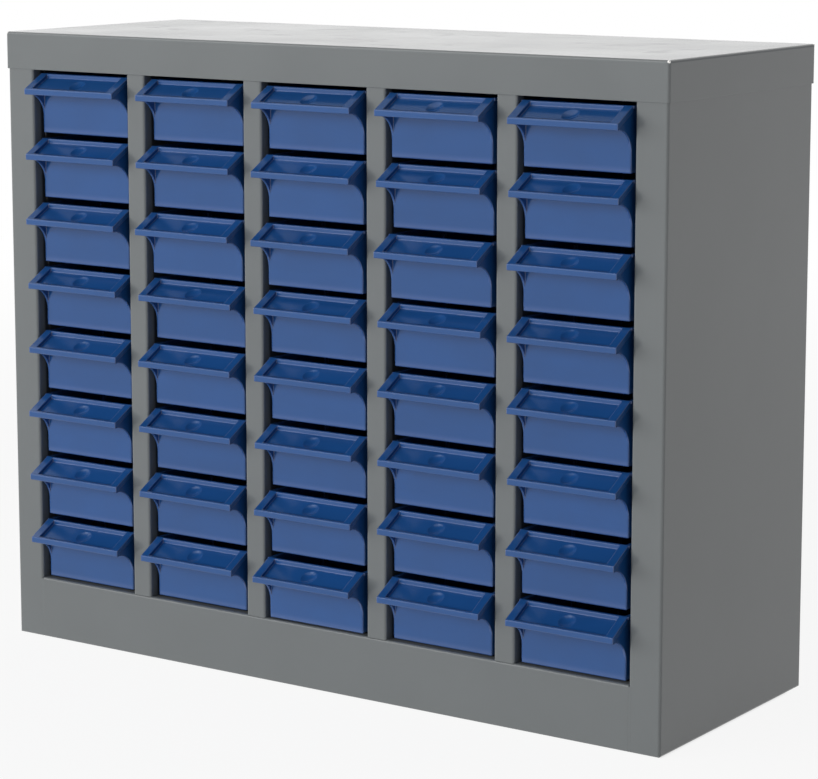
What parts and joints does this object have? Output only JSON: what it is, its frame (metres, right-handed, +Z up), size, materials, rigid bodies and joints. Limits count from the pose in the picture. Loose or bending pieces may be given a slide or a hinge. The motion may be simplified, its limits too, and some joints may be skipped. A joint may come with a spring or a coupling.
{
  "type": "parts bin cabinet",
  "caption": "Low, wide sheet-steel cabinet with a grid of small pull-out plastic bins, each with a sloping finger-tray handle, between upright posts over a plain plinth.",
  "frame": {"origin": "On the floor, at the middle of the bounding box at rest, with the handles' reach in front counted in.", "axes": "+X to the viewer's right along the front (the longest side), +Y from the drawers to the back panel (the shortest side), +Z up."},
  "size_m": [0.586, 0.232, 0.478],
  "materials": {
    "painted_steel": "satin grey powder coat with a fine texture",
    "zinc_steel": "dull zinc-plated sheet",
    "blue_plastic": "satin moulded blue polypropylene"
  },
  "bodies": {
    "cabinet": {"top_cap": "painted_steel", "left_side_panel": "painted_steel", "right_side_panel": "painted_steel", "back_panel": "painted_steel", "lower_deck": "painted_steel", "upper_deck": "painted_steel", "left_liner": "painted_steel", "right_liner": "painted_steel", "mullion_1": "painted_steel", "mullion_2": "painted_steel", "mullion_3": "painted_steel", "mullion_4": "painted_steel", "runners_a": "zinc_steel", "runners_b": "zinc_steel", "runners_c": "zinc_steel", "runners_d": "zinc_steel", "runners_e": "zinc_steel"},
    "drawer_a1": {"drawer_a1": "blue_plastic"},
    "drawer_a2": {"drawer_a2": "blue_plastic"},
    "drawer_a3": {"drawer_a3": "blue_plastic"},
    "drawer_a4": {"drawer_a4": "blue_plastic"},
    "drawer_a5": {"drawer_a5": "blue_plastic"},
    "drawer_a6": {"drawer_a6": "blue_plastic"},
    "drawer_a7": {"drawer_a7": "blue_plastic"},
    "drawer_a8": {"drawer_a8": "blue_plastic"},
    "drawer_b1": {"drawer_b1": "blue_plastic"},
    "drawer_b2": {"drawer_b2": "blue_plastic"},
    "drawer_b3": {"drawer_b3": "blue_plastic"},
    "drawer_b4": {"drawer_b4": "blue_plastic"},
    "drawer_b5": {"drawer_b5": "blue_plastic"},
    "drawer_b6": {"drawer_b6": "blue_plastic"},
    "drawer_b7": {"drawer_b7": "blue_plastic"},
    "drawer_b8": {"drawer_b8": "blue_plastic"},
    "drawer_c1": {"drawer_c1": "blue_plastic"},
    "drawer_c2": {"drawer_c2": "blue_plastic"},
    "drawer_c3": {"drawer_c3": "blue_plastic"},
    "drawer_c4": {"drawer_c4": "blue_plastic"},
    "drawer_c5": {"drawer_c5": "blue_plastic"},
    "drawer_c6": {"drawer_c6": "blue_plastic"},
    "drawer_c7": {"drawer_c7": "blue_plastic"},
    "drawer_c8": {"drawer_c8": "blue_plastic"},
    "drawer_d1": {"drawer_d1": "blue_plastic"},
    "drawer_d2": {"drawer_d2": "blue_plastic"},
    "drawer_d3": {"drawer_d3": "blue_plastic"},
    "drawer_d4": {"drawer_d4": "blue_plastic"},
    "drawer_d5": {"drawer_d5": "blue_plastic"},
    "drawer_d6": {"drawer_d6": "blue_plastic"},
    "drawer_d7": {"drawer_d7": "blue_plastic"},
    "drawer_d8": {"drawer_d8": "blue_plastic"},
    "drawer_e1": {"drawer_e1": "blue_plastic"},
    "drawer_e2": {"drawer_e2": "blue_plastic"},
    "drawer_e3": {"drawer_e3": "blue_plastic"},
    "drawer_e4": {"drawer_e4": "blue_plastic"},
    "drawer_e5": {"drawer_e5": "blue_plastic"},
    "drawer_e6": {"drawer_e6": "blue_plastic"},
    "drawer_e7": {"drawer_e7": "blue_plastic"},
    "drawer_e8": {"drawer_e8": "blue_plastic"}
  },
  "joints": [
    {"name": "drawer_a1_slide", "type": "slide", "parent": "cabinet", "child": "drawer_a1", "axis": [0, -1, 0], "range_m": [-0.0015, 0.148]},
    {"name": "drawer_a2_slide", "type": "slide", "parent": "cabinet", "child": "drawer_a2", "axis": [0, -1, 0], "range_m": [-0.0015, 0.148]},
    {"name": "drawer_a3_slide", "type": "slide", "parent": "cabinet", "child": "drawer_a3", "axis": [0, -1, 0], "range_m": [-0.0025, 0.147]},
    {"name": "drawer_a4_slide", "type": "slide", "parent": "cabinet", "child": "drawer_a4", "axis": [0, -1, 0], "range_m": [-0.0015, 0.148]},
    {"name": "drawer_a5_slide", "type": "slide", "parent": "cabinet", "child": "drawer_a5", "axis": [0, -1, 0], "range_m": [-0.002, 0.1475]},
    {"name": "drawer_a6_slide", "type": "slide", "parent": "cabinet", "child": "drawer_a6", "axis": [0, -1, 0], "range_m": [-0.0035, 0.146]},
    {"name": "drawer_a7_slide", "type": "slide", "parent": "cabinet", "child": "drawer_a7", "axis": [0, -1, 0], "range_m": [-0.0035, 0.146]},
    {"name": "drawer_a8_slide", "type": "slide", "parent": "cabinet", "child": "drawer_a8", "axis": [0, -1, 0], "range_m": [-0.0035, 0.146]},
    {"name": "drawer_b1_slide", "type": "slide", "parent": "cabinet", "child": "drawer_b1", "axis": [0, -1, 0], "range_m": [-0.002, 0.1475]},
    {"name": "drawer_b2_slide", "type": "slide", "parent": "cabinet", "child": "drawer_b2", "axis": [0, -1, 0], "range_m": [-0.0025, 0.147]},
    {"name": "drawer_b3_slide", "type": "slide", "parent": "cabinet", "child": "drawer_b3", "axis": [0, -1, 0], "range_m": [-0.0045, 0.145]},
    {"name": "drawer_b4_slide", "type": "slide", "parent": "cabinet", "child": "drawer_b4", "axis": [0, -1, 0], "range_m": [-0.0015, 0.148]},
    {"name": "drawer_b5_slide", "type": "slide", "parent": "cabinet", "child": "drawer_b5", "axis": [0, -1, 0], "range_m": [-0.003, 0.1465]},
    {"name": "drawer_b6_slide", "type": "slide", "parent": "cabinet", "child": "drawer_b6", "axis": [0, -1, 0], "range_m": [-0.003, 0.1465]},
    {"name": "drawer_b7_slide", "type": "slide", "parent": "cabinet", "child": "drawer_b7", "axis": [0, -1, 0], "range_m": [-0.0035, 0.146]},
    {"name": "drawer_b8_slide", "type": "slide", "parent": "cabinet", "child": "drawer_b8", "axis": [0, -1, 0], "range_m": [-0.003, 0.1465]},
    {"name": "drawer_c1_slide", "type": "slide", "parent": "cabinet", "child": "drawer_c1", "axis": [0, -1, 0], "range_m": [-0.004, 0.1455]},
    {"name": "drawer_c2_slide", "type": "slide", "parent": "cabinet", "child": "drawer_c2", "axis": [0, -1, 0], "range_m": [-0.005, 0.1445]},
    {"name": "drawer_c3_slide", "type": "slide", "parent": "cabinet", "child": "drawer_c3", "axis": [0, -1, 0], "range_m": [-0.006, 0.1435]},
    {"name": "drawer_c4_slide", "type": "slide", "parent": "cabinet", "child": "drawer_c4", "axis": [0, -1, 0], "range_m": [-0.003, 0.1465]},
    {"name": "drawer_c5_slide", "type": "slide", "parent": "cabinet", "child": "drawer_c5", "axis": [0, -1, 0], "range_m": [-0.003, 0.1465]},
    {"name": "drawer_c6_slide", "type": "slide", "parent": "cabinet", "child": "drawer_c6", "axis": [0, -1, 0], "range_m": [-0.003, 0.1465]},
    {"name": "drawer_c7_slide", "type": "slide", "parent": "cabinet", "child": "drawer_c7", "axis": [0, -1, 0], "range_m": [-0.0045, 0.145]},
    {"name": "drawer_c8_slide", "type": "slide", "parent": "cabinet", "child": "drawer_c8", "axis": [0, -1, 0], "range_m": [-0.007, 0.1425]},
    {"name": "drawer_d1_slide", "type": "slide", "parent": "cabinet", "child": "drawer_d1", "axis": [0, -1, 0], "range_m": [-0.006, 0.1435]},
    {"name": "drawer_d2_slide", "type": "slide", "parent": "cabinet", "child": "drawer_d2", "axis": [0, -1, 0], "range_m": [-0.004, 0.1455]},
    {"name": "drawer_d3_slide", "type": "slide", "parent": "cabinet", "child": "drawer_d3", "axis": [0, -1, 0], "range_m": [-0.007, 0.1425]},
    {"name": "drawer_d4_slide", "type": "slide", "parent": "cabinet", "child": "drawer_d4", "axis": [0, -1, 0], "range_m": [-0.0025, 0.147]},
    {"name": "drawer_d5_slide", "type": "slide", "parent": "cabinet", "child": "drawer_d5", "axis": [0, -1, 0], "range_m": [-0.003, 0.1465]},
    {"name": "drawer_d6_slide", "type": "slide", "parent": "cabinet", "child": "drawer_d6", "axis": [0, -1, 0], "range_m": [-0.003, 0.1465]},
    {"name": "drawer_d7_slide", "type": "slide", "parent": "cabinet", "child": "drawer_d7", "axis": [0, -1, 0], "range_m": [-0.0035, 0.146]},
    {"name": "drawer_d8_slide", "type": "slide", "parent": "cabinet", "child": "drawer_d8", "axis": [0, -1, 0], "range_m": [-0.004, 0.1455]},
    {"name": "drawer_e1_slide", "type": "slide", "parent": "cabinet", "child": "drawer_e1", "axis": [0, -1, 0], "range_m": [-0.006, 0.1435]},
    {"name": "drawer_e2_slide", "type": "slide", "parent": "cabinet", "child": "drawer_e2", "axis": [0, -1, 0], "range_m": [-0.004, 0.1455]},
    {"name": "drawer_e3_slide", "type": "slide", "parent": "cabinet", "child": "drawer_e3", "axis": [0, -1, 0], "range_m": [-0.0055, 0.144]},
    {"name": "drawer_e4_slide", "type": "slide", "parent": "cabinet", "child": "drawer_e4", "axis": [0, -1, 0], "range_m": [-0.005, 0.1445]},
    {"name": "drawer_e5_slide", "type": "slide", "parent": "cabinet", "child": "drawer_e5", "axis": [0, -1, 0], "range_m": [-0.0045, 0.145]},
    {"name": "drawer_e6_slide", "type": "slide", "parent": "cabinet", "child": "drawer_e6", "axis": [0, -1, 0], "range_m": [-0.0035, 0.146]},
    {"name": "drawer_e7_slide", "type": "slide", "parent": "cabinet", "child": "drawer_e7", "axis": [0, -1, 0], "range_m": [-0.005, 0.1445]},
    {"name": "drawer_e8_slide", "type": "slide", "parent": "cabinet", "child": "drawer_e8", "axis": [0, -1, 0], "range_m": [-0.005, 0.1445]}
  ]
}
